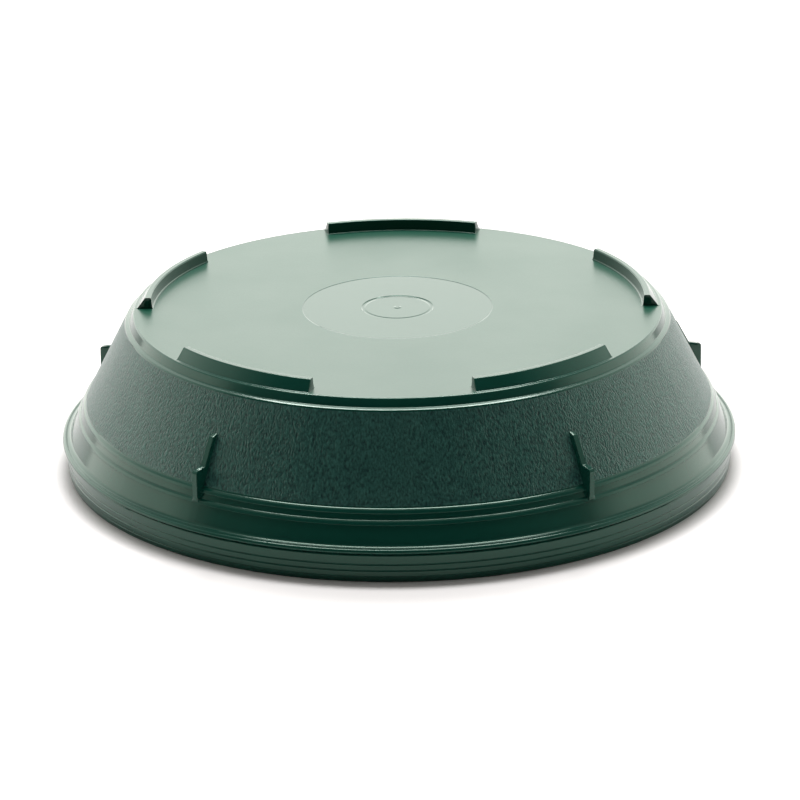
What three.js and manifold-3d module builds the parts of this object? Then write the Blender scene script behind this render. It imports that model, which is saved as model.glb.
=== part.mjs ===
// Wasp trap: a five-footed collecting bowl, shown turned over on the lid that closes it.
// Millimetres, +Z up. The origin is the centre of the ring that the lid rests on.
// Wasps climb through five funnels in the lid, drawn by a bait cup at its centre.
// Angles are degrees from the front (-Y), positive towards +X.

import * as THREE from "three";
import { mergeVertices } from "three/addons/utils/BufferGeometryUtils.js";
import Module from "manifold-3d";

const wasm = await Module();
wasm.setup();

// ---- driving dimensions -------------------------------------------------

const rimRadius = 120; // outside of the bead round the bowl's mouth
const discHeight = 56.7; // the bowl's flat bottom, which is on top here
const footHeight = 3.9;
const wall = 2;
const gap = 0.3; // clearance left between neighbouring pieces
const partingHeight = 10.2; // the underside of the bowl's rim

const discRadius = 93.4;
const coneTop = { r: 96.4, z: 53.4 }; // wall just below the shoulder ring
const coneFoot = { r: 117.1, z: 12.6 }; // wall where the rim ledge begins
const beadProud = 0.5;
const beadHeight = 1.2;
const upperBead = 23.9; // height of the top edge of each bead on the wall
const lowerBead = 20.4;

const ribAngles = [36, -36, 108, -108, 180];
const footSpan = 36.4; // degrees
const foot = { inner: 87, topInner: 87.3, topOuter: 89.2, outer: 92.2 };
const rib = { thick: 2.1, top: 40.6, step: 30.6, foot: 19.5, stepRadius: 113.9, proud: 2.2 };

const webTop = 9.4; // the lid's flat panel
const webUnder = 7.4;
const shelfUnder = 5.4; // the lid's outer shelf, one wall lower than the panel
const skirtRadius = 118.4;
const spigotTop = 15;
const spigotRadius = 113.2;
const bossRadius = 24.4;
const bossUnder = 4.6;

const entryAngles = [0, 72, 144, -144, -72];
const entryCircle = 66; // radius on which the five funnels stand
const mouthRadius = 16.3;
const exitRadius = 5.3; // lets one wasp through at a time
const funnelWall = 1.2;
const funnelTop = 42;
const flangeRadius = 21.2;
const collarHeight = 3;

const cupRadius = 19.4;
const cupTop = 44;
const cupUnder = 3.1;
const lugRadius = 22.2;
const lugSpan = 40;
const cupTurn = 70; // degrees from locked to the notches that let the lugs through

const shutterRadius = 104;
const shutterThick = 1.1;

const roundSegments = 80;
const smallSegments = 24;

// ---- materials ----------------------------------------------------------

const plastic = (color, roughness) =>
  new THREE.MeshStandardMaterial({ color, roughness, metalness: 0 });

const greenMoulding = plastic(0x1f4a3e, 0.35);
const yellowMoulding = plastic(0xe3b52a, 0.4);
const naturalMoulding = plastic(0xd9dccf, 0.45);
const blackRubber = plastic(0x1c1d1e, 0.8);
const springSteel = new THREE.MeshStandardMaterial({ color: 0x9a9c9e, roughness: 0.35, metalness: 1 });
const lureFelt = plastic(0xb98b52, 0.95);

// ---- shapes -------------------------------------------------------------

const radians = THREE.MathUtils.degToRad;

// A closed three.js geometry as a manifold solid.
function solid(geometry) {
  const bare = geometry.index ? geometry.toNonIndexed() : geometry;
  bare.deleteAttribute("normal");
  bare.deleteAttribute("uv");
  const merged = mergeVertices(bare);
  const index = merged.index.array;
  const kept = [];
  for (let i = 0; i < index.length; i += 3) {
    const [a, b, c] = [index[i], index[i + 1], index[i + 2]];
    if (a !== b && b !== c && c !== a) kept.push(a, b, c);
  }
  const vertProperties = new Float32Array(merged.attributes.position.array);
  return new wasm.Manifold(
    new wasm.Mesh({ numProp: 3, vertProperties, triVerts: new Uint32Array(kept) }),
  );
}

// An outline of [radius, height] points turned about Z, outer side running upwards.
function turned(outline, segments = roundSegments) {
  const onAxis = outline[0][0] === 0 && outline.at(-1)[0] === 0;
  const loop = onAxis ? outline : [...outline, outline[0]];
  const points = loop.map(([r, z]) => new THREE.Vector2(r, z));
  return solid(new THREE.LatheGeometry(points, segments).rotateX(Math.PI / 2));
}

function tube(inner, outer, low, high, segments = roundSegments) {
  return turned([[inner, low], [outer, low], [outer, high], [inner, high]], segments);
}

function rod(radius, low, high, segments = smallSegments) {
  return turned([[0, low], [radius, low], [radius, high], [0, high]], segments);
}

// A radial [radius, height] outline given a thickness, standing along +X.
function fin(outline, thick) {
  const shape = new THREE.Shape(outline.map(([r, z]) => new THREE.Vector2(r, z)));
  const blade = new THREE.ExtrudeGeometry(shape, { depth: thick, bevelEnabled: false });
  return solid(blade.rotateX(Math.PI / 2).translate(0, thick / 2, 0));
}

// A pie slice along +X, used to keep part of a ring.
function slice(span, low, high) {
  const reach = 1.2 * rimRadius;
  const half = reach * Math.tan(radians(span / 2));
  const shape = new THREE.Shape([[0, 0], [reach, -half], [reach, half]].map(
    ([x, y]) => new THREE.Vector2(x, y),
  ));
  const block = new THREE.ExtrudeGeometry(shape, { depth: high - low, bevelEnabled: false });
  return solid(block.translate(0, 0, low));
}

function block(x, y, low, high) {
  return solid(new THREE.BoxGeometry(x, y, high - low).translate(0, 0, (low + high) / 2));
}

// Turns a body that lies along +X to face the given angle.
const facing = (body, angle) => body.rotate([0, 0, angle - 90]);

// Moves an upright body out to a radius at the given angle.
const placed = (body, radius, angle) => facing(body.translate([radius, 0, 0]), angle);

const trap = new THREE.Group();

function add(name, body, material) {
  const { vertProperties, triVerts } = body.getMesh();
  const geometry = new THREE.BufferGeometry();
  geometry.setAttribute("position", new THREE.BufferAttribute(vertProperties, 3));
  geometry.setIndex(new THREE.BufferAttribute(triVerts, 1));
  const mesh = new THREE.Mesh(geometry, material);
  mesh.name = name;
  trap.add(mesh);
  return mesh;
}

// ---- bowl: one moulding with its feet, ribs, beads and rim ---------------

const coneSlope = (coneFoot.r - coneTop.r) / (coneTop.z - coneFoot.z);
const coneRadius = (z) => coneTop.r + coneSlope * (coneTop.z - z);
const wallAcross = wall * Math.hypot(1, coneSlope); // the wall measured level

function bead(top) {
  const under = top - beadHeight;
  return [
    [coneRadius(under - beadProud), under - beadProud],
    [coneRadius(under) + beadProud, under],
    [coneRadius(top) + beadProud, top],
    [coneRadius(top + beadProud), top + beadProud],
  ];
}

function bowlShell() {
  const rimInner = spigotRadius + 1;
  const rimThickens = coneTop.z - (rimInner + wallAcross - coneTop.r) / coneSlope;
  const ceiling = discHeight - wall;
  return turned([
    [0, ceiling],
    [discRadius - wall, ceiling],
    [coneRadius(ceiling - wall) - wallAcross, ceiling - wall],
    [rimInner, rimThickens],
    [rimInner, partingHeight],
    [rimRadius - 1, partingHeight],
    [rimRadius, partingHeight + 0.8],
    [rimRadius, partingHeight + 1.3],
    [rimRadius - 0.8, partingHeight + 2],
    [coneFoot.r + 0.5, coneFoot.z - 0.3],
    [coneFoot.r - 0.1, coneFoot.z + 0.3],
    ...bead(lowerBead),
    ...bead(upperBead),
    [coneTop.r, coneTop.z],
    [coneTop.r - 0.5, coneTop.z + 0.3],
    [coneTop.r - 1.4, coneTop.z + 0.5],
    [discRadius + 0.5, discHeight - 0.5],
    [discRadius, discHeight],
    [0, discHeight],
  ]);
}

function bowlFoot() {
  const root = discHeight - wall / 2;
  const top = discHeight + footHeight;
  const ring = turned([
    [foot.inner, root],
    [foot.outer, root],
    [foot.outer, discHeight],
    [foot.topOuter, top],
    [foot.topInner, top],
    [foot.inner, discHeight],
  ]);
  return ring.intersect(slice(footSpan, root - 1, top + 1));
}

// A stacking lug: a low rib down the wall that steps out to a bearing edge.
function bowlRib() {
  const buried = (z) => coneRadius(z) - wall / 2;
  return fin([
    [buried(rib.foot), rib.foot],
    [coneRadius(rib.foot), rib.foot],
    [rib.stepRadius, rib.foot + 0.8],
    [rib.stepRadius, rib.step - 0.6],
    [rib.stepRadius - 0.6, rib.step],
    [coneRadius(rib.step) + rib.proud, rib.step + 0.5],
    [coneRadius(rib.top) + rib.proud * 0.7, rib.top - 0.8],
    [buried(rib.top), rib.top],
  ], rib.thick);
}

let bowl = bowlShell();
for (const angle of ribAngles) {
  bowl = bowl.add(facing(bowlFoot(), angle)).add(facing(bowlRib(), angle));
}
add("bowl", bowl, greenMoulding);

// ---- lid: skirt, shelf, spigot and the panel that holds the entries ------

const seatHole = mouthRadius + funnelWall + gap;
const collarInner = flangeRadius + 0.4;

function lidBlank() {
  return turned([
    [cupRadius + 0.4, bossUnder],
    [bossRadius, bossUnder],
    [bossRadius, webUnder],
    [spigotRadius - 2 * wall, webUnder],
    [spigotRadius - 2 * wall, shelfUnder],
    [skirtRadius - wall, shelfUnder],
    [skirtRadius - wall, 0],
    [skirtRadius - 0.4, 0],
    [skirtRadius, 0.6],
    [skirtRadius, partingHeight - gap],
    [skirtRadius - wall, partingHeight - gap],
    [skirtRadius - wall, webUnder],
    [spigotRadius, webUnder],
    [spigotRadius, spigotTop - 0.6],
    [spigotRadius - 0.6, spigotTop],
    [spigotRadius - wall, spigotTop],
    [spigotRadius - wall, webTop],
    [cupRadius + 0.4, webTop],
  ]);
}

let lid = lidBlank();
for (const angle of entryAngles) {
  const collar = tube(collarInner, collarInner + 1.6, webTop - 1, webTop + collarHeight, smallSegments);
  const seat = rod(seatHole, webUnder - 1, webTop + 1);
  lid = lid.add(placed(collar, entryCircle, angle)).subtract(placed(seat, entryCircle, angle));
}
const lugAngles = [90, -90];
for (const angle of lugAngles) {
  const notch = rod(lugRadius + 0.4, bossUnder - 1, webTop + 1, roundSegments)
    .intersect(slice(lugSpan + 8, bossUnder - 2, webTop + 2));
  lid = lid.subtract(facing(notch, angle + cupTurn));
}
add("lid", lid, greenMoulding);

const sealOutline = [spigotRadius + gap, skirtRadius - wall - gap, webUnder + gap, partingHeight - gap];
add("rim_seal", tube(...sealOutline), blackRubber);

// ---- five entries: a funnel in each seat, held by a snap ring ------------

const flangeUnder = webTop + gap;
const flangeTop = flangeUnder + funnelWall;

function funnel() {
  const shank = mouthRadius + funnelWall;
  return turned([
    [mouthRadius, webUnder],
    [shank, webUnder],
    [shank, flangeUnder],
    [flangeRadius, flangeUnder],
    [flangeRadius, flangeTop],
    [shank, flangeTop],
    [exitRadius + funnelWall, funnelTop],
    [exitRadius, funnelTop],
    [mouthRadius, flangeTop],
  ], smallSegments);
}

entryAngles.forEach((angle, i) => {
  add(`entry_funnel_${i + 1}`, placed(funnel(), entryCircle, angle), yellowMoulding);
});

const clipInner = mouthRadius + funnelWall + 0.5;
entryAngles.forEach((angle, i) => {
  const ring = tube(clipInner, collarInner - gap, flangeTop + gap, flangeTop + gap + 1.2, smallSegments);
  add(`funnel_clip_${i + 1}`, placed(ring, entryCircle, angle), naturalMoulding);
});

// ---- shutter: turned by its two grips to close all five entries ----------

const shutterTop = webUnder - gap;
const shutterUnder = shutterTop - shutterThick;
let shutter = tube(bossRadius + 0.4, shutterRadius, shutterUnder, shutterTop);
for (const angle of entryAngles) {
  const port = rod(seatHole, shutterUnder - 1, shutterTop + 1);
  shutter = shutter.subtract(placed(port, entryCircle, angle));
}
for (const angle of [36, -144]) {
  const grip = block(14, 3, 2, shutterUnder + 0.4);
  shutter = shutter.add(placed(grip, shutterRadius - 9, angle));
}
add("entry_shutter", shutter, yellowMoulding);

const circlipTop = shutterUnder - gap;
const circlipRing = tube(bossRadius + gap, bossRadius + 3.2, bossUnder, circlipTop, 2 * smallSegments);
const circlipGap = block(8, 5, bossUnder - 1, circlipTop + 1);
add("shutter_circlip", circlipRing.subtract(placed(circlipGap, bossRadius + 2, 0)), springSteel);

// ---- bait cup: hangs in the bowl's middle, locked by two bayonet lugs ----

const cupBore = cupRadius - wall;

function cupShell() {
  return turned([
    [0, cupTop - wall],
    [cupBore - 1, cupTop - wall],
    [cupBore, cupTop - wall - 1],
    [cupBore, cupUnder],
    [lugRadius + 1.4, cupUnder],
    [lugRadius + 1.4, cupUnder + funnelWall],
    [cupRadius, cupUnder + funnelWall],
    [cupRadius, cupTop - 1.4],
    [cupRadius - 1.4, cupTop],
    [0, cupTop],
  ], 2 * smallSegments);
}

let cup = cupShell();
for (const angle of lugAngles) {
  const lug = tube(cupRadius - 0.5, lugRadius, flangeUnder, flangeUnder + 1.4, 2 * smallSegments)
    .intersect(slice(lugSpan, flangeUnder - 1, flangeUnder + 3));
  cup = cup.add(facing(lug, angle));
}
const ventCount = 8;
for (let i = 0; i < ventCount; i += 1) {
  const vent = block(4 * wall, 3, 14, 22);
  cup = cup.subtract(placed(vent, cupRadius, 22.5 + (360 / ventCount) * i));
}
add("bait_cup", cup, naturalMoulding);

const padLow = 26;
add("lure_pad", rod(cupBore - 0.4, padLow, cupTop - wall - 1.4, 2 * smallSegments), lureFelt);

let retainer = rod(cupBore - gap, padLow - 1.6, padLow - 0.4, 2 * smallSegments);
for (let i = 0; i < 6; i += 1) {
  retainer = retainer.subtract(placed(rod(2, padLow - 3, padLow + 1, 12), 9.5, 60 * i));
}
add("pad_retainer", retainer, naturalMoulding);

// ---- bait cap: a hollow plug with a grip bar and a ring seal -------------

const capTop = cupUnder - gap;
const plugTop = 8.4;
const grooveLow = 4.3;
const grooveHigh = 6.7;
const grooveRadius = cupBore - 2.2;
const landRadius = cupBore - 0.8;

const capDisc = turned([
  [0, capTop - funnelWall],
  [lugRadius - 1.2, capTop - funnelWall],
  [lugRadius - 1.2, capTop],
  [landRadius, capTop],
  [landRadius, grooveLow],
  [grooveRadius, grooveLow],
  [grooveRadius, grooveHigh],
  [landRadius, grooveHigh],
  [landRadius, plugTop - 0.8],
  [landRadius - 0.8, plugTop],
  [grooveRadius - 1.6, plugTop],
  [grooveRadius - 1.6, capTop + 0.4],
  [0, capTop + 0.4],
], 2 * smallSegments);
add("bait_cap", capDisc.add(block(30, 5, 0.4, capTop - 1)), yellowMoulding);

const capSeal = tube(grooveRadius + gap, cupBore - gap, grooveLow + gap, grooveHigh - gap, 2 * smallSegments);
add("cap_seal", capSeal, blackRubber);

export default trap;
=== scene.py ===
# Wasp trap: a green five-footed bowl turned over on its lid, with the entries and the bait cup inside.
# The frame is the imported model's own, +Z up, the lid's skirt standing on Z = 0. Outlines are in mm.

import math

import bpy
import numpy as np
from mathutils import Matrix, Vector


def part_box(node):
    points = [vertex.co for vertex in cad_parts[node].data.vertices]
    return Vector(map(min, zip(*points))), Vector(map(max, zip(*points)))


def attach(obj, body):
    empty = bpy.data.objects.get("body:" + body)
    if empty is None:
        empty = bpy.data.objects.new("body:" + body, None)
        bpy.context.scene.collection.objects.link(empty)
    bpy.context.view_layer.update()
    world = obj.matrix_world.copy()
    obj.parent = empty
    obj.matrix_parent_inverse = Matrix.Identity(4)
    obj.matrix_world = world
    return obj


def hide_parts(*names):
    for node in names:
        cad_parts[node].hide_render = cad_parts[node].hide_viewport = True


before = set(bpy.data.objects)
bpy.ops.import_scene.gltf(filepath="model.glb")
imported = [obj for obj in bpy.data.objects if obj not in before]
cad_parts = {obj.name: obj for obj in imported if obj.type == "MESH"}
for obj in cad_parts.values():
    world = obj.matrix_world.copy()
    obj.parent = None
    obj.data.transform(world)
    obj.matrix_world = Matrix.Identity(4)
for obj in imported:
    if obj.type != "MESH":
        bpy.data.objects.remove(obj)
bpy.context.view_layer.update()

# ==== BOWL ==========================================================================================
# The collecting bowl is one injection moulding in deep green polypropylene, upside down here: its flat
# bottom is on top, with five arc feet, and five stacking ribs stand on the wall. The wall and the
# bottom take a grain from the mould; the bands, the rim and the circle at the gate are polished.

MM = 0.001
bowl_low, bowl_high = (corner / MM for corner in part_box("bowl"))
rim = bowl_high.x
parting = bowl_low.z
foot_top = bowl_high.z
disc_top = foot_top - 3.9
wall_thick = 2.0
ceiling = disc_top - wall_thick
cone_top = (96.4, disc_top - 3.3)
cone_foot = (117.1, 12.6)
cone_slope = (cone_foot[0] - cone_top[0]) / (cone_top[1] - cone_foot[1])
wall_across = wall_thick * math.hypot(1.0, cone_slope)
band_proud = 0.6
lower_band, upper_band = (18.95, 20.35), (22.45, 23.85)
rib_low, rib_high = 18.4, 40.6
rib_angles = (36, 108, 180, 252, 324)
grain_low, grain_high = 24.4, cone_top[1] - 0.5
disc_edge = 92.9
foot_inside = 86.2
gate_circle = 33.6
gate_step = 0.08


def cone(z):
    """Outside radius of the plain wall at a height."""
    return cone_top[0] + cone_slope * (cone_top[1] - z)


def rounded(corners, turns=3, closed=False):
    """The outline through (radius, height, fillet) corners, with an arc at each fillet. A point just
    beyond each end of an arc keeps the flat next to it shaded flat."""
    whole_side, half_side = 0.96, 0.48
    outline = []
    count = len(corners)
    for i, (r, z, fillet) in enumerate(corners):
        here = np.array((r, z), float)
        if fillet == 0 or (not closed and i in (0, count - 1)):
            outline.append(here)
            continue
        back = np.array(corners[i - 1][:2]) - here
        onward = np.array(corners[(i + 1) % count][:2]) - here
        shares = [half_side if corners[k % count][2] else whole_side for k in (i - 1, i + 1)]
        room = min(shares[0] * np.linalg.norm(back), shares[1] * np.linalg.norm(onward))
        back /= np.linalg.norm(back)
        onward /= np.linalg.norm(onward)
        half = math.acos(np.clip(back @ onward, -1, 1)) / 2
        reach = min(fillet / math.tan(half), 0.9 * room)
        beyond = min(1.3 * reach, room)
        bisector = (back + onward) / np.linalg.norm(back + onward)
        centre = here + bisector * reach / math.cos(half)
        first = here + back * reach - centre
        last = here + onward * reach - centre
        sweep = math.pi - 2 * half
        outline.append(here + back * beyond)
        for k in range(turns + 1):
            t = k / turns
            spoke = math.sin((1 - t) * sweep) * first + math.sin(t * sweep) * last
            outline.append(centre + spoke / math.sin(sweep))
        outline.append(here + onward * beyond)
    return np.array(outline)


def paired(plain, raised):
    """Two outlines between the same ends, cut at each other's places, so that one can swell into
    the other."""
    def places(outline):
        """How far along the outline each of its points is, from 0 to 1."""
        steps = np.linalg.norm(np.diff(outline, axis=0), axis=1)
        along = np.concatenate([[0], np.cumsum(steps)])
        return along / along[-1]

    plain_at, raised_at = places(plain), places(raised)
    shared = np.unique(np.round(np.concatenate([plain_at, raised_at]), 5))

    def sampled(at, outline):
        """The outline's points at the shared places."""
        return np.c_[np.interp(shared, at, outline[:, 0]), np.interp(shared, at, outline[:, 1])]

    return sampled(plain_at, plain), sampled(raised_at, raised)


def band(low, high):
    """A raised band round the wall, as corners from its lower edge up. Its upper edge is well rounded."""
    return [
        (cone(low - 0.12), low - 0.12, 0.08),
        (cone(low) + band_proud, low, 0.14),
        (cone(high - 0.4) + band_proud, high - 0.4, 0.6),
        (cone(high) + 0.25, high, 0.5),
        (cone(high + 0.15), high + 0.15, 0.1),
    ]


def grid_mesh(name, rings, closed):
    """A mesh from rings[row, column] of points; a ring on the axis becomes one point."""
    rows, columns, _ = rings.shape
    points = []
    index = np.zeros((rows, columns), int)
    for i, ring in enumerate(rings):
        pole = np.abs(ring[:, :2]).max() < 1e-9
        index[i] = len(points) + (0 if pole else np.arange(columns))
        points.extend(ring[:1] if pole else ring)
    faces = []
    owners = []
    for i in range(rows if closed else rows - 1):
        low, high = index[i], index[(i + 1) % rows]
        for j in range(columns):
            k = (j + 1) % columns
            corners = (low[j], low[k], high[k], high[j])
            faces.append(tuple(int(v) for v in dict.fromkeys(corners)))
            owners.append((i, j))
    mesh = bpy.data.meshes.new(name)
    mesh.from_pydata([tuple(p) for p in points], [], faces)
    mesh.shade_smooth()
    return mesh, owners


def add_piece(name, mesh, *materials):
    """An object at the origin with the mesh and its materials."""
    piece = bpy.data.objects.new(name, mesh)
    bpy.context.scene.collection.objects.link(piece)
    for material in materials:
        mesh.materials.append(material)
    return piece


inside_and_rim = rounded([
    (0, ceiling, 0),
    (92.0, ceiling, 2.0),
    (cone(50) - wall_across, 50, 3.0),
    (cone(14) - wall_across, 14, 1.0),
    (114.2, parting + 2.6, 0.6),
    (114.2, parting, 0.3),
    (rim - 1.5, parting, 0.2),
    (rim - 1.2, parting + 0.55, 0.3),
    (rim - 0.35, parting + 0.75, 0.3),
    (rim, parting + 1.0, 0),
    (rim, parting + 2.05, 0.9),
    (rim - 1.15, parting + 2.05, 0),
    (rim - 1.4, parting + 1.8, 0.1),
    (rim - 1.65, parting + 2.1, 0),
    (cone(parting + 2.1), parting + 2.1, 1.7),
    (cone(rib_low), rib_low, 0),
])
rib_wall = rounded([
    (cone(rib_low), rib_low, 0),
    *band(*lower_band),
    *band(*upper_band),
    (cone(grain_low), grain_low, 0),
    (cone(rib_high), rib_high, 0),
])
rib_edge = rounded([
    (cone(rib_low), rib_low, 0),
    (cone(lower_band[0] - 0.12), lower_band[0] - 0.12, 0.08),
    (cone(lower_band[0]) + band_proud, lower_band[0], 0.1),
    (cone(19.4) + band_proud, 19.4, 0.05),
    (114.45, 19.6, 0.15),
    (114.4, 30.1, 0.9),
    (cone(30.8) + 2.0, 30.8, 0.6),
    (cone(39.8) + 1.7, 39.8, 0.8),
    (cone(rib_high), rib_high, 0),
])
shoulder = rounded([
    (cone(rib_high), rib_high, 0),
    (cone(rib_high + 0.3), rib_high + 0.3, 0),
    (cone(grain_high), grain_high, 0),
    (cone_top[0], cone_top[1], 0.35),
    (94.9, cone_top[1] + 0.4, 0.5),
    (93.5, disc_top, 0.7),
    (disc_edge, disc_top, 0),
])
foot_floor = np.array([(disc_edge, disc_top), (foot_inside, disc_top)])
foot_edge = rounded([
    (disc_edge, disc_top, 0),
    (92.2, disc_top + 0.1, 0.3),
    (89.4, foot_top, 0.55),
    (87.3, foot_top, 0.45),
    (86.9, disc_top, 0.4),
    (foot_inside, disc_top, 0),
])
disc = rounded([
    (foot_inside, disc_top, 0),
    (60, disc_top, 0),
    (gate_circle + 0.15, disc_top, 0.06),
    (gate_circle - 0.15, disc_top - gate_step, 0.06),
    (22, disc_top - gate_step, 0),
    (12.8, disc_top - gate_step, 0.12),
    (12.4, disc_top - 0.26, 0.12),
    (11.8, disc_top - 0.27, 0.15),
    (11.2, disc_top - 0.18, 0.15),
    (1.5, disc_top - 0.18, 0.15),
    (0.9, disc_top - gate_step, 0.2),
    (0, disc_top - gate_step, 0),
])

rib_plain, rib_raised = paired(rib_wall, rib_edge)
foot_plain, foot_raised = paired(foot_floor, foot_edge)
plain_rows = np.concatenate([inside_and_rim, rib_plain[1:], shoulder[1:], foot_plain[1:], disc[1:]])
rib_rows = plain_rows.copy()
rib_start = len(inside_and_rim)
rib_rows[rib_start:rib_start + len(rib_raised) - 1] = rib_raised[1:]
foot_rows = plain_rows.copy()
foot_start = rib_start + len(rib_plain) - 1 + len(shoulder) - 1
foot_rows[foot_start:foot_start + len(foot_raised) - 1] = foot_raised[1:]

# Each foot and rib rises from the skin through a short steep ramp at either side, so it is one with
# the wall. Angles are in degrees from the front, and the columns of faces crowd at the ramps.
foot_half, foot_ramp = 18.2, 0.24
rib_half, rib_ramp = 0.58, 0.24
ramp_steps = (-0.5, -0.35, -0.15, 0.15, 0.35, 0.5)
column_step = 1.6
columns = list(np.arange(0, 360, column_step))
for middle in rib_angles:
    for side in (-1, 1):
        columns += [middle + side * (foot_half + foot_ramp * s) for s in ramp_steps]
        columns += [middle + side * (rib_half + rib_ramp * s) for s in ramp_steps]
columns = np.unique(np.round(np.mod(columns, 360), 3))


def nearness(angles, half, ramp):
    """1 on the arcs of the given half width round the rib angles, 0 off them."""
    off = np.abs((angles[:, None] - np.array(rib_angles) + 180) % 360 - 180).min(axis=1)
    t = np.clip((half + ramp / 2 - off) / ramp, 0, 1)
    return t * t * (3 - 2 * t)


on_foot = nearness(columns, foot_half, foot_ramp)
on_rib = nearness(columns, rib_half, rib_ramp)
turn = np.radians(columns)
rows = (
    plain_rows[:, None, :]
    + on_foot[None, :, None] * (foot_rows - plain_rows)[:, None, :]
    + on_rib[None, :, None] * (rib_rows - plain_rows)[:, None, :]
)
bowl_rings = np.stack([rows[..., 0] * np.sin(turn), -rows[..., 0] * np.cos(turn), rows[..., 1]], axis=-1)
bowl_mesh, bowl_owners = grid_mesh("bowl_moulding", bowl_rings * MM, closed=False)
bowl_mesh.set_sharp_from_angle(angle=math.radians(38))


def add_node(tree, kind, inputs=(), **settings):
    """Adds a node; inputs maps a socket's name or number to a value or to another node's output."""
    made = tree.nodes.new(kind)
    for key, value in settings.items():
        setattr(made, key, value)
    for key, value in dict(inputs).items():
        if isinstance(value, bpy.types.NodeSocket):
            tree.links.new(value, made.inputs[key])
        else:
            made.inputs[key].default_value = value
    return made


def linear(colour):
    """An sRGB hex colour as linear RGBA."""
    parts = [int(colour[i:i + 2], 16) / 255 for i in (1, 3, 5)]
    return [*(c / 12.92 if c <= 0.04045 else ((c + 0.055) / 1.055) ** 2.4 for c in parts), 1.0]


def start_material(name):
    """An empty material; returns it, its tree and the object's own coordinates."""
    material = bpy.data.materials.new(name)
    material.use_nodes = True
    tree = material.node_tree
    tree.nodes.clear()
    place = add_node(tree, "ShaderNodeTexCoord").outputs["Object"]
    return material, tree, place


def finish_material(tree, inputs):
    """The material's shader, with the given inputs, and its output."""
    shader = add_node(tree, "ShaderNodeBsdfPrincipled", inputs)
    add_node(tree, "ShaderNodeOutputMaterial", {"Surface": shader.outputs["BSDF"]})


def noise(tree, place, size, detail=3.0, roughness=0.5):
    """Noise whose features are about size millimetres across, from 0 to 1."""
    return add_node(tree, "ShaderNodeTexNoise", {
        "Vector": place, "Scale": 1 / (size * MM), "Detail": detail, "Roughness": roughness,
    }).outputs["Fac"]


def spread(tree, value, low, high):
    """Noise's middle range spread from low to high."""
    return add_node(tree, "ShaderNodeMapRange", {
        "Value": value, "From Min": 0.3, "From Max": 0.7, "To Min": low, "To Max": high,
    }).outputs["Result"]


def shades(tree, value, dark, light):
    """A colour between two hex shades."""
    ramp = add_node(tree, "ShaderNodeMix", {"Factor": value, 6: linear(dark), 7: linear(light)},
                    data_type="RGBA")
    return ramp.outputs[2]


# The slight tint in the gloss stands for light that the pigment just under the skin throws back.
polypropylene_ior = 1.49
green_dark, green_light = "#0b362d", "#0d3d33"
green_gloss = "#d4f6e2"


def polished_green():
    """Polypropylene moulded against polished steel: glossy, with the faint ripple of the flow."""
    material, tree, place = start_material("green_polypropylene_polished")
    flow = noise(tree, place, 26, detail=1)
    haze = noise(tree, place, 2.4, detail=3)
    ripple = add_node(tree, "ShaderNodeBump", {"Strength": 0.35, "Distance": 0.05 * MM, "Height": flow})
    finish_material(tree, {
        "Base Color": shades(tree, flow, green_dark, green_light),
        "Roughness": spread(tree, haze, 0.12, 0.15),
        "IOR": polypropylene_ior,
        "Specular Tint": linear(green_gloss),
        "Normal": ripple.outputs["Normal"],
    })
    return material


def grained_green():
    """The wall's moulded grain: short upright wrinkles, laid out round the wall's mean radius. The
    real ones are about 0.4 mm wide, and these are drawn a little coarser so that they show."""
    mean_radius = 107 * MM
    material, tree, place = start_material("green_polypropylene_grained")
    level = add_node(tree, "ShaderNodeVectorMath", {0: place, 1: (1, 1, 0)}, operation="MULTIPLY")
    around = add_node(tree, "ShaderNodeVectorMath", {0: level.outputs[0]}, operation="NORMALIZE")
    ring = add_node(tree, "ShaderNodeVectorMath", {0: around.outputs[0], "Scale": mean_radius},
                    operation="SCALE")
    upright = add_node(tree, "ShaderNodeVectorMath", {0: place, 1: (0, 0, 0.6)}, operation="MULTIPLY")
    wall = add_node(tree, "ShaderNodeVectorMath", {0: ring.outputs[0], 1: upright.outputs[0]},
                    operation="ADD").outputs[0]
    wrinkles = noise(tree, wall, 0.66, detail=2, roughness=0.6)
    patches = noise(tree, wall, 9, detail=2)
    depth = add_node(tree, "ShaderNodeMath", {0: wrinkles, 1: spread(tree, patches, 0.6, 1.0)},
                     operation="MULTIPLY")
    grain = add_node(tree, "ShaderNodeBump", {
        "Strength": 1.0, "Distance": 0.46 * MM, "Height": depth.outputs[0],
    })
    finish_material(tree, {
        # The base colour follows the wrinkles' height, darker in their hollows and lighter on their
        # crests: painted shade and painted highlight on the grain.
        "Base Color": shades(tree, spread(tree, wrinkles, 0, 1), "#092224", "#2a554d"),
        "Roughness": spread(tree, wrinkles, 0.28, 0.42),
        "IOR": polypropylene_ior,
        "Specular Tint": linear(green_gloss),
        "Normal": grain.outputs["Normal"],
    })
    return material


def matt_green():
    """The bottom's fine spark-eroded texture: a soft even sheen, with faint smears from handling."""
    material, tree, place = start_material("green_polypropylene_matt")
    speckle = noise(tree, place, 0.8, detail=3, roughness=0.6)
    smears = noise(tree, place, 38, detail=3, roughness=0.6)
    texture = add_node(tree, "ShaderNodeBump", {
        "Strength": 0.35, "Distance": 0.05 * MM, "Height": speckle,
    })
    finish_material(tree, {
        "Base Color": shades(tree, speckle, "#0d3e2f", "#134d3b"),
        "Roughness": spread(tree, smears, 0.285, 0.335),
        "IOR": polypropylene_ior,
        "Normal": texture.outputs["Normal"],
    })
    return material


polished, grained, matt = polished_green(), grained_green(), matt_green()
bowl = add_piece("bowl_moulding", bowl_mesh, polished, grained, matt)

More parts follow.
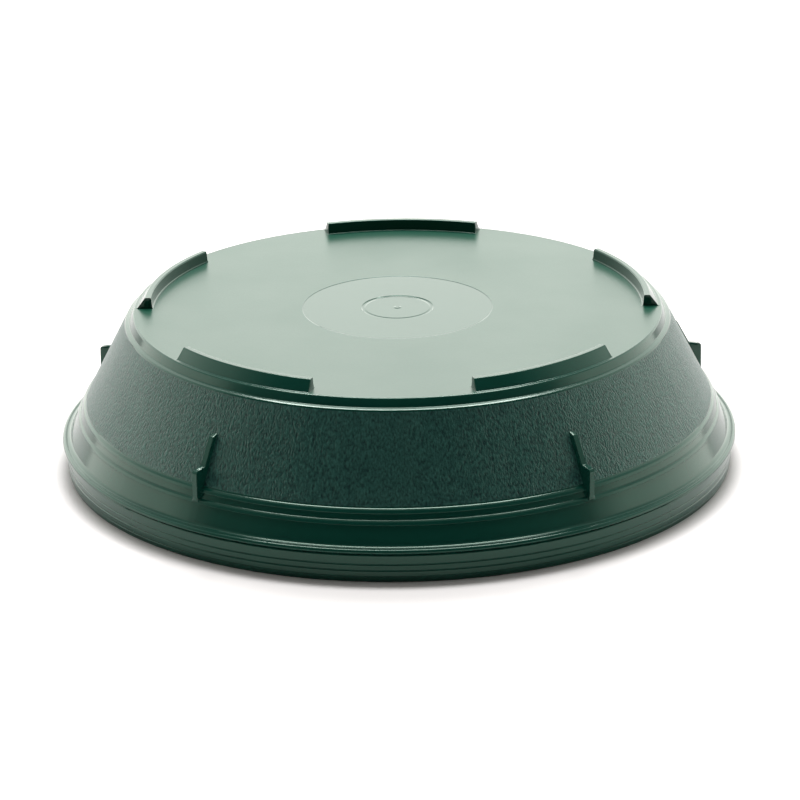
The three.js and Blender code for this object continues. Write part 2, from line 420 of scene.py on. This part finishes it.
# The grain covers the wall between the upper band and the shoulder, off the ribs. The matt texture
# covers the disc, off the feet, down to the step of the gate circle. The rest is polished.
row_z = plain_rows[:, 1]
row_r = plain_rows[:, 0]
wall_rows = np.arange(len(row_z) - 1) >= rib_start - 1
grained_row = wall_rows & (row_z[:-1] > grain_low - 0.01) & (row_z[1:] < grain_high + 0.01)
matt_row = (row_z[:-1] > disc_top - 0.02) & (row_z[1:] > disc_top - 0.02) & (row_r[1:] > gate_circle)
for face, (i, j) in zip(bowl_mesh.polygons, bowl_owners):
    beside_rib = max(on_rib[j], on_rib[(j + 1) % len(columns)]) < 0.01
    if grained_row[i] and (beside_rib or i >= rib_start + len(rib_raised) - 2):
        face.material_index = 1
    elif matt_row[i] and (on_foot[j] < 0.01 or i >= foot_start + len(foot_plain) - 2):
        face.material_index = 2

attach(bowl, "bowl")
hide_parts("bowl")

# ==== LID ===========================================================================================
# The lid is a second moulding in the same green. Its grooved skirt stands on the table under the
# bowl's rim, an inner spigot centres the bowl, and the flat panel carries five seats with collars
# for the entry funnels and a boss with two notches for the bait cup.

lid_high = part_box("lid")[1] / MM
skirt = lid_high.x
skirt_thick = 2
spigot_top = lid_high.z
panel_low, panel_high = 7.4, 9.4
boss_bore, boss_outside = 19.8, 24.4
entry_ring = 66.0
entry_count = 5
seat_radius = 17.8


def turned(name, corners, segments=96, turns=3):
    """A closed ring or a solid on the axis, turned from (radius, height, fillet) corners in mm."""
    closed = not (corners[0][0] == 0 and corners[-1][0] == 0)
    outline = rounded(corners, turns, closed)
    angle = np.linspace(0, 2 * math.pi, segments, endpoint=False)
    r, z = outline[:, :1], outline[:, 1:]
    rings = np.stack([r * np.sin(angle), -r * np.cos(angle), z + 0 * angle], axis=-1)
    return grid_mesh(name, rings * MM, closed)[0]


def ring_tree(name, operation, material):
    """Geometry nodes that set copies of a piece round the axis. With an operation, the copies are of
    the object in Tool, and they are joined to the piece or cut from it."""
    tree = bpy.data.node_groups.new(name, "GeometryNodeTree")
    side = tree.interface.new_socket
    side("Piece", in_out="INPUT", socket_type="NodeSocketGeometry")
    side("Tool", in_out="INPUT", socket_type="NodeSocketObject")
    side("Count", in_out="INPUT", socket_type="NodeSocketInt")
    side("Circle Radius", in_out="INPUT", socket_type="NodeSocketFloat")
    side("First Angle", in_out="INPUT", socket_type="NodeSocketFloat")
    side("Result", in_out="OUTPUT", socket_type="NodeSocketGeometry")
    given = add_node(tree, "NodeGroupInput").outputs
    source = given["Piece"]
    if operation:
        source = add_node(tree, "GeometryNodeObjectInfo", {"Object": given["Tool"]}).outputs["Geometry"]
    spot = add_node(tree, "ShaderNodeCombineXYZ", {"X": given["Circle Radius"]})
    spots = add_node(tree, "GeometryNodePoints", {"Count": given["Count"], "Position": spot.outputs[0]})
    copies = add_node(tree, "GeometryNodeInstanceOnPoints", {
        "Points": spots.outputs[0], "Instance": source,
    })
    step = add_node(tree, "ShaderNodeMath", {0: 2 * math.pi, 1: given["Count"]}, operation="DIVIDE")
    number = add_node(tree, "GeometryNodeInputIndex").outputs[0]
    angle = add_node(tree, "ShaderNodeMath", {
        0: number, 1: step.outputs[0], 2: given["First Angle"],
    }, operation="MULTIPLY_ADD")
    about = add_node(tree, "ShaderNodeCombineXYZ", {"Z": angle.outputs[0]})
    ring = add_node(tree, "GeometryNodeRotateInstances", {
        "Instances": copies.outputs[0], "Rotation": about.outputs[0], "Local Space": False,
    })
    result = ring.outputs[0]
    if operation:
        tools = add_node(tree, "GeometryNodeRealizeInstances", {"Geometry": result}).outputs[0]
        boolean = add_node(tree, "GeometryNodeMeshBoolean", operation=operation, solver="EXACT")
        piece_side = "Mesh 1" if operation == "DIFFERENCE" else "Mesh 2"
        tree.links.new(given["Piece"], boolean.inputs[piece_side])
        tree.links.new(tools, boolean.inputs["Mesh 2"])
        result = boolean.outputs["Mesh"]
    real = add_node(tree, "GeometryNodeRealizeInstances", {"Geometry": result}).outputs[0]
    coat = add_node(tree, "GeometryNodeSetMaterial", {"Geometry": real, "Material": material})
    add_node(tree, "NodeGroupOutput", {"Result": coat.outputs[0]})
    return tree


def ringed(piece, material, count, radius, first_angle, operation=None, tool=None):
    """Runs ring_tree on a piece and keeps the result as its plain mesh. The angle is from the front."""
    tree = ring_tree(f"{piece.name}_ring", operation, material)
    maker = piece.modifiers.new("ring", "NODES")
    maker.node_group = tree
    values = {
        "Tool": tool, "Count": count, "Circle Radius": radius * MM,
        "First Angle": math.radians(first_angle - 90),
    }
    for socket in tree.interface.items_tree:
        if socket.name in values and values[socket.name] is not None:
            maker[socket.identifier] = values[socket.name]
    graph = bpy.context.evaluated_depsgraph_get()
    mesh = bpy.data.meshes.new_from_object(piece.evaluated_get(graph), depsgraph=graph)
    piece.modifiers.remove(maker)
    piece.data = mesh
    mesh.shade_smooth()
    mesh.set_sharp_from_angle(angle=math.radians(30))
    if tool:
        bpy.data.objects.remove(tool)
    return piece


groove = 0.2
lid = add_piece("lid_moulding", turned("lid_moulding", [
    (boss_bore, 4.6, 0.2),
    (boss_outside, 4.6, 0.3),
    (boss_outside, panel_low, 0.5),
    (109.2, panel_low, 0.3),
    (109.2, 5.4, 0.3),
    (skirt - skirt_thick, 5.4, 0.5),
    (skirt - skirt_thick, 0, 0.3),
    (skirt - 0.5, 0, 0.5),
    (skirt - 0.1, 1.7, 0.2),
    (skirt - groove, 2.0, 0.15),
    (skirt, 2.3, 0.2),
    (skirt, 3.9, 0.2),
    (skirt - groove, 4.2, 0.15),
    (skirt, 4.5, 0.2),
    (skirt, 6.1, 0.2),
    (skirt - groove, 6.4, 0.15),
    (skirt, 6.7, 0.2),
    (skirt, 9.9, 0.5),
    (skirt - skirt_thick, 9.9, 0.3),
    (skirt - skirt_thick, 7.4, 0.3),
    (113.2, 7.4, 0.3),
    (113.2, spigot_top, 0.7),
    (111.2, spigot_top, 0.7),
    (111.2, panel_high, 0.6),
    (boss_bore, panel_high, 0.3),
], segments=240), polished)
collar = add_piece("collar_tool", turned("collar_tool", [
    (21.6, 9.0, 0), (23.2, 9.0, 0), (23.2, 12.4, 0.5), (21.6, 12.4, 0.4),
], segments=64))
ringed(lid, polished, entry_count, entry_ring, 0, "UNION", collar)
seat = add_piece("seat_tool", turned("seat_tool", [
    (0, 6.0, 0), (seat_radius, 6.0, 0), (seat_radius, 11, 0), (0, 11, 0),
], segments=64))
ringed(lid, polished, entry_count, entry_ring, 0, "DIFFERENCE", seat)


def arc_block(name, inner, outer, low, high, span, steps=12):
    """A slab of a ring, centred on +X, used as a tool and for the cup's lugs."""
    angles = np.radians(np.linspace(-span / 2, span / 2, steps))
    section = [(inner, low), (outer, low), (outer, high), (inner, high)]
    points = [(r * math.cos(a) * MM, r * math.sin(a) * MM, z * MM) for a in angles for r, z in section]
    faces = [(3, 2, 1, 0), tuple(4 * (steps - 1) + k for k in range(4))]
    for i in range(steps - 1):
        for k in range(4):
            m = (k + 1) % 4
            faces.append((4 * i + k, 4 * i + m, 4 * (i + 1) + m, 4 * (i + 1) + k))
    mesh = bpy.data.meshes.new(name)
    mesh.from_pydata(points, [], faces)
    return mesh


lug_angle = 90
unlocking_turn = 70
notch = add_piece("notch_tool", arc_block("notch_tool", 18, 22.6, 4, 10, 48))
ringed(lid, polished, 2, 0, lug_angle + unlocking_turn, "DIFFERENCE", notch)
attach(lid, "lid")
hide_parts("lid")

# ==== RIM SEAL ======================================================================================
# A rubber ring of nearly square section lies on the lid's shelf. The bowl's rim presses on it.

def black_rubber():
    """Moulded nitrile rubber: dull, with a fine bloom of powder that lightens it in patches."""
    material, tree, place = start_material("black_nitrile_rubber")
    bloom = noise(tree, place, 5, detail=4)
    pores = noise(tree, place, 0.5, detail=2)
    skin = add_node(tree, "ShaderNodeBump", {"Strength": 0.4, "Distance": 0.04 * MM, "Height": pores})
    finish_material(tree, {
        "Base Color": shades(tree, bloom, "#111212", "#1e2020"),
        "Roughness": spread(tree, bloom, 0.55, 0.72),
        "Normal": skin.outputs["Normal"],
    })
    return material


rubber = black_rubber()
rim_seal = add_piece("rim_seal_ring", turned("rim_seal_ring", [
    (113.5, 7.7, 0.6), (116.1, 7.7, 0.6), (116.1, 9.9, 0.7), (113.5, 9.9, 0.7),
], segments=180), rubber)
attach(rim_seal, "lid")
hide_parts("rim_seal")

# ==== ENTRY FUNNELS =================================================================================
# Five yellow polypropylene funnels drop into the lid's seats. Each has a flange that sits in its
# collar, and narrows to a tip that lets one wasp through. Yellow draws wasps.

def satin_plastic(name, dark, light, low, high, milk=0.0):
    """Polypropylene moulded in a fine-blasted mould. Milk is how far light soaks into it."""
    material, tree, place = start_material(name)
    cloud = noise(tree, place, 11, detail=3)
    blast = noise(tree, place, 0.6, detail=2)
    skin = add_node(tree, "ShaderNodeBump", {"Strength": 0.3, "Distance": 0.03 * MM, "Height": blast})
    finish_material(tree, {
        "Base Color": shades(tree, cloud, dark, light),
        "Roughness": spread(tree, blast, low, high),
        "IOR": polypropylene_ior,
        "Subsurface Weight": milk,
        "Subsurface Radius": (0.004, 0.003, 0.002),
        "Normal": skin.outputs["Normal"],
    })
    return material


yellow = satin_plastic("yellow_polypropylene", "#d9a51c", "#e6b62c", 0.28, 0.38, milk=0.15)
funnels = add_piece("entry_funnels", turned("entry_funnels", [
    (16.3, 7.4, 0.4),
    (17.5, 7.4, 0.4),
    (17.5, 9.7, 0.2),
    (21.2, 9.7, 0.35),
    (21.2, 10.9, 0.35),
    (17.5, 10.9, 1.0),
    (6.5, 42, 0.55),
    (5.3, 42, 0.55),
    (16.3, 10.9, 2.0),
], segments=72), yellow)
ringed(funnels, yellow, entry_count, entry_ring, 0)
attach(funnels, "lid")
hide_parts(*[f"entry_funnel_{i}" for i in range(1, entry_count + 1)])

# ==== FUNNEL CLIPS ==================================================================================
# A snap ring of undyed polypropylene presses each funnel's flange down into its collar.

natural = satin_plastic("undyed_polypropylene", "#d3d6c8", "#e0e2d6", 0.32, 0.42, milk=0.5)
clips = add_piece("funnel_clips", turned("funnel_clips", [
    (18.0, 11.2, 0.3), (21.3, 11.2, 0.3), (21.3, 12.4, 0.4), (18.0, 12.4, 0.5),
], segments=64), natural)
ringed(clips, natural, entry_count, entry_ring, 0)
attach(clips, "lid")
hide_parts(*[f"funnel_clip_{i}" for i in range(1, entry_count + 1)])

# ==== ENTRY SHUTTER =================================================================================
# A thin yellow disc under the panel turns on the lid's boss. Its five ports line up with the
# funnels when open, and two grips moulded on it take a finger and thumb.

shutter = add_piece("shutter_disc", turned("shutter_disc", [
    (24.8, 6.0, 0.3), (104, 6.0, 0.4), (104, 7.1, 0.4), (24.8, 7.1, 0.3),
], segments=180), yellow)
port = add_piece("port_tool", turned("port_tool", [
    (0, 5, 0), (seat_radius, 5, 0), (seat_radius, 8, 0), (0, 8, 0),
], segments=64))
ringed(shutter, yellow, entry_count, entry_ring, 0, "DIFFERENCE", port)


def bar_mesh(name, length, width, low, high, edge):
    """A straight bar along X with bevelled edges, in mm."""
    bar = add_piece(name, bpy.data.meshes.new(name))
    ends, sides = (-length / 2, length / 2), (-width / 2, width / 2)
    corners = [(x, y, z) for z in (low, high) for y in sides for x in ends]
    faces = [(0, 2, 3, 1), (4, 5, 7, 6), (0, 1, 5, 4), (2, 6, 7, 3), (0, 4, 6, 2), (1, 3, 7, 5)]
    bar.data.from_pydata([tuple(MM * v for v in c) for c in corners], [], faces)
    bevel = bar.modifiers.new("edges", "BEVEL")
    bevel.width, bevel.segments = edge * MM, 3
    graph = bpy.context.evaluated_depsgraph_get()
    mesh = bpy.data.meshes.new_from_object(bar.evaluated_get(graph), depsgraph=graph)
    bpy.data.objects.remove(bar)
    return mesh


grip = add_piece("grip_tool", bar_mesh("grip_tool", 14, 3, 2, 6.4, 0.9))
ringed(shutter, yellow, 2, 95, 36, "UNION", grip)
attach(shutter, "shutter")
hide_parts("entry_shutter")

# ==== SHUTTER CIRCLIP ===============================================================================
# A stamped spring-steel ring with one gap snaps round the boss and keeps the shutter on it.

def spring_steel():
    """Hard bright steel strip with the fine lines of rolling and a slight blue-brown temper."""
    material, tree, place = start_material("tempered_spring_steel")
    stretch = add_node(tree, "ShaderNodeVectorMath", {0: place, 1: (0.05, 1, 1)}, operation="MULTIPLY")
    lines = noise(tree, stretch.outputs[0], 0.2, detail=2)
    temper = noise(tree, place, 9, detail=2)
    finish_material(tree, {
        "Base Color": shades(tree, temper, "#9a958c", "#b4b6b8"),
        "Metallic": 1.0,
        "Roughness": spread(tree, lines, 0.28, 0.38),
    })
    return material


steel = spring_steel()
circlip = add_piece("shutter_circlip_ring", turned("shutter_circlip_ring", [
    (24.7, 4.6, 0.15), (27.6, 4.6, 0.15), (27.6, 5.7, 0.15), (24.7, 5.7, 0.15),
], segments=96), steel)
clip_gap = add_piece("clip_gap_tool", bar_mesh("clip_gap_tool", 8, 5, 4, 6.5, 0.2))
ringed(circlip, steel, 1, 26.4, 0, "DIFFERENCE", clip_gap)
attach(circlip, "lid")
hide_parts("shutter_circlip")

# ==== BAIT CUP ======================================================================================
# A vented cup of undyed polypropylene hangs in the middle of the bowl, mouth down as shown. Two lugs
# lock it in the lid's boss. The slots let the scent out and are too narrow for a wasp.

cup_low, cup_high = (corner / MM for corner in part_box("bait_cup"))
cup_top = cup_high.z
cup_mouth = cup_low.z
cup = add_piece("bait_cup_shell", turned("bait_cup_shell", [
    (0, cup_top - 2, 0),
    (17.4, cup_top - 2, 1.6),
    (17.4, cup_mouth, 0.4),
    (23.6, cup_mouth, 0.4),
    (23.6, cup_mouth + 1.2, 0.4),
    (19.4, cup_mouth + 1.2, 0.3),
    (19.4, cup_top, 2.4),
    (0, cup_top, 0),
], segments=96, turns=5), natural)
vent = add_piece("vent_tool", bar_mesh("vent_tool", 8, 3, 14, 22, 1.3))
ringed(cup, natural, 8, 19.4, 22.5, "DIFFERENCE", vent)
lug = add_piece("lug_tool", arc_block("lug_tool", 18.6, 22.2, 9.7, 11.1, 40))
ringed(cup, natural, 2, 0, lug_angle, "UNION", lug)
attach(cup, "bait_cup")
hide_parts("bait_cup")

# ==== LURE PAD ======================================================================================
# A disc of needled wool felt fills the cup's blind end and soaks up the bait. Its faces are a little
# crowned, and its cut edge is slightly wavy.

def wool_felt():
    """Needled felt, wet with sugary bait: matted fibres about 0.4 mm apart and darker damp areas."""
    material, tree, place = start_material("needled_wool_felt")
    fibres = noise(tree, place, 0.4, detail=5, roughness=0.7)
    damp = noise(tree, place, 8, detail=2)
    nap = add_node(tree, "ShaderNodeBump", {"Strength": 0.9, "Distance": 0.3 * MM, "Height": fibres})
    finish_material(tree, {
        "Base Color": shades(tree, damp, "#8a6234", "#b98b52"),
        "Roughness": spread(tree, damp, 0.7, 0.95),
        "Sheen Weight": 0.3,
        "Normal": nap.outputs["Normal"],
    })
    return material


felt = wool_felt()
pad_low, pad_high = (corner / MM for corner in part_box("lure_pad"))
pad_mesh = turned("lure_pad_felt", [
    (0, pad_low.z, 0),
    (10, pad_low.z + 0.2, 0),
    (16.9, pad_low.z + 0.5, 1.2),
    (16.9, pad_high.z - 0.5, 1.2),
    (10, pad_high.z - 0.2, 0),
    (0, pad_high.z, 0),
], segments=96, turns=6)
cut_waves, cut_depth = 61, 0.004
for vertex in pad_mesh.vertices:
    flat = Vector((vertex.co.x, vertex.co.y, 0))
    wave = math.sin(cut_waves * math.atan2(flat.y, flat.x) + 900 * vertex.co.z)
    vertex.co -= flat * cut_depth * (1 + wave)
pad = add_piece("lure_pad_felt", pad_mesh, felt)
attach(pad, "bait_cup")
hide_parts("lure_pad")

# ==== PAD RETAINER ==================================================================================
# A perforated disc snaps into the cup and keeps the pad in its end.

retainer = add_piece("pad_retainer_disc", turned("pad_retainer_disc", [
    (0, 24.4, 0), (17.1, 24.4, 0.4), (17.1, 25.6, 0.4), (0, 25.6, 0),
], segments=96), natural)
hole = add_piece("hole_tool", turned("hole_tool", [
    (0, 23, 0), (2, 23, 0), (2, 27, 0), (0, 27, 0),
], segments=32))
ringed(retainer, natural, 6, 9.5, 0, "DIFFERENCE", hole)
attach(retainer, "bait_cup")
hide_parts("pad_retainer")

# ==== BAIT CAP ======================================================================================
# A yellow plug with a grip bar closes the cup's mouth. A rubber ring in its groove makes it tight.

cap = add_piece("bait_cap_plug", turned("bait_cap_plug", [
    (0, 1.6, 0),
    (21, 1.6, 0.5),
    (21, 2.8, 0.4),
    (16.6, 2.8, 0.2),
    (16.6, 4.3, 0.2),
    (15.2, 4.3, 0.2),
    (15.2, 6.7, 0.2),
    (16.6, 6.7, 0.2),
    (16.6, 8.4, 0.9),
    (13.6, 8.4, 0.5),
    (13.6, 3.2, 0.6),
    (0, 3.2, 0),
], segments=96), yellow)
cap_bar = add_piece("cap_bar_tool", bar_mesh("cap_bar_tool", 30, 5, 0.4, 2.1, 0.8))
ringed(cap, yellow, 1, 0, 90, "UNION", cap_bar)
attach(cap, "bait_cap")
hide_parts("bait_cap")

cap_seal = add_piece("cap_seal_ring", turned("cap_seal_ring", [
    (15.5, 4.6, 0.7), (17.1, 4.6, 0.7), (17.1, 6.4, 0.7), (15.5, 6.4, 0.7),
], segments=96, turns=5), rubber)
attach(cap_seal, "bait_cap")
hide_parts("cap_seal")

# ==== STUDIO ========================================================================================
# A white table in a light tent: bright behind and overhead, dark on the camera's side, so that the
# top and the far edges shine and the front of the wall stays deep.

scene = bpy.context.scene
scene.view_settings.view_transform = "Standard"


def table_white():
    """A matt white sheet, lit so strongly that it shows as plain white."""
    material, tree, place = start_material("white_table")
    fleck = noise(tree, place, 30, detail=2)
    finish_material(tree, {
        "Base Color": shades(tree, fleck, "#e9e6e6", "#ebe8e8"),
        "Roughness": 0.9,
        "Specular IOR Level": 0.0,
    })
    return material


reach = 6.0
table_corners = [(-reach, -reach, 0), (reach, -reach, 0), (reach, reach, 0), (-reach, reach, 0)]
table_mesh = bpy.data.meshes.new("table")
table_mesh.from_pydata(table_corners, [], [(0, 1, 2, 3)])
table = add_piece("table", table_mesh, table_white())

world = bpy.data.worlds.new("light_tent")
scene.world = world
world.use_nodes = True
sky = world.node_tree
sky.nodes.clear()
direction = add_node(sky, "ShaderNodeTexCoord").outputs["Generated"]
towards = add_node(sky, "ShaderNodeSeparateXYZ", {0: direction}).outputs


def brightness(along, stops):
    """Brightness along one axis of the tent, read off (position from -1 to 1, value) stops."""
    place = add_node(sky, "ShaderNodeMapRange", {"Value": along, "From Min": -1.0})
    ramp = add_node(sky, "ShaderNodeValToRGB", {"Fac": place.outputs["Result"]})
    ramp.color_ramp.interpolation = "EASE"
    for i, (position, value) in enumerate(stops):
        stop = ramp.color_ramp.elements[i] if i < 2 else ramp.color_ramp.elements.new(1.0)
        stop.position = (position + 1) / 2
        stop.color = (value, value, value, 1)
    return ramp.outputs["Color"]


around_walls = brightness(towards["Y"], [(-0.85, 0.01), (-0.38, 0.06), (0.0, 0.6), (0.85, 1.0)])
overhead_dip = brightness(towards["Z"], [(0.3, 1.0), (0.75, 0.24)])
level = add_node(sky, "ShaderNodeMath", {0: around_walls, 1: overhead_dip}, operation="MULTIPLY")
strength = add_node(sky, "ShaderNodeMath", {0: level.outputs[0], 1: 3.15}, operation="MULTIPLY")
tent = add_node(sky, "ShaderNodeBackground", {
    "Color": linear("#fffef8"), "Strength": strength.outputs[0],
})
add_node(sky, "ShaderNodeOutputWorld", {"Surface": tent.outputs[0]})

target = Vector((0, 0, 30)) * MM


def look(place, aim):
    """The turn that points a lamp or camera at place towards aim."""
    return (aim - place).to_track_quat("-Z", "Y").to_matrix()


def add_softbox(name, place, wide, deep, radiance):
    """A rectangular lamp aimed at the model; its face is as bright as the given radiance."""
    lamp = bpy.data.lights.new(name, "AREA")
    lamp.shape = "RECTANGLE"
    lamp.size, lamp.size_y = wide, deep
    lamp.energy = radiance * math.pi * wide * deep
    softbox = bpy.data.objects.new(name, lamp)
    scene.collection.objects.link(softbox)
    place = Vector(place)
    softbox.matrix_world = Matrix.Translation(place) @ look(place, target).to_4x4()


add_softbox("rear_key", (0.0, 0.80, 1.15), 0.7, 0.26, 21)
add_softbox("overhead_strip", (0.0, 0.33, 1.36), 1.0, 0.42, 13)

elevation, azimuth, roll = math.radians(20.0), math.radians(1.4), math.radians(-0.8)
distance = 14 * rim * MM
camera_place = target + distance * Vector((
    math.sin(azimuth) * math.cos(elevation), -math.cos(azimuth) * math.cos(elevation), math.sin(elevation),
))
view_centre = Vector((0.46, 0, 21.5)) * MM
lens = bpy.data.cameras.new("camera")
lens.sensor_width = 36
lens.lens = 212.3
lens.clip_start, lens.clip_end = 0.05, 50
camera = bpy.data.objects.new("camera", lens)
scene.collection.objects.link(camera)
turned_camera = look(camera_place, view_centre) @ Matrix.Rotation(roll, 3, "Z")
camera.matrix_world = Matrix.Translation(camera_place) @ turned_camera.to_4x4()
scene.camera = camera
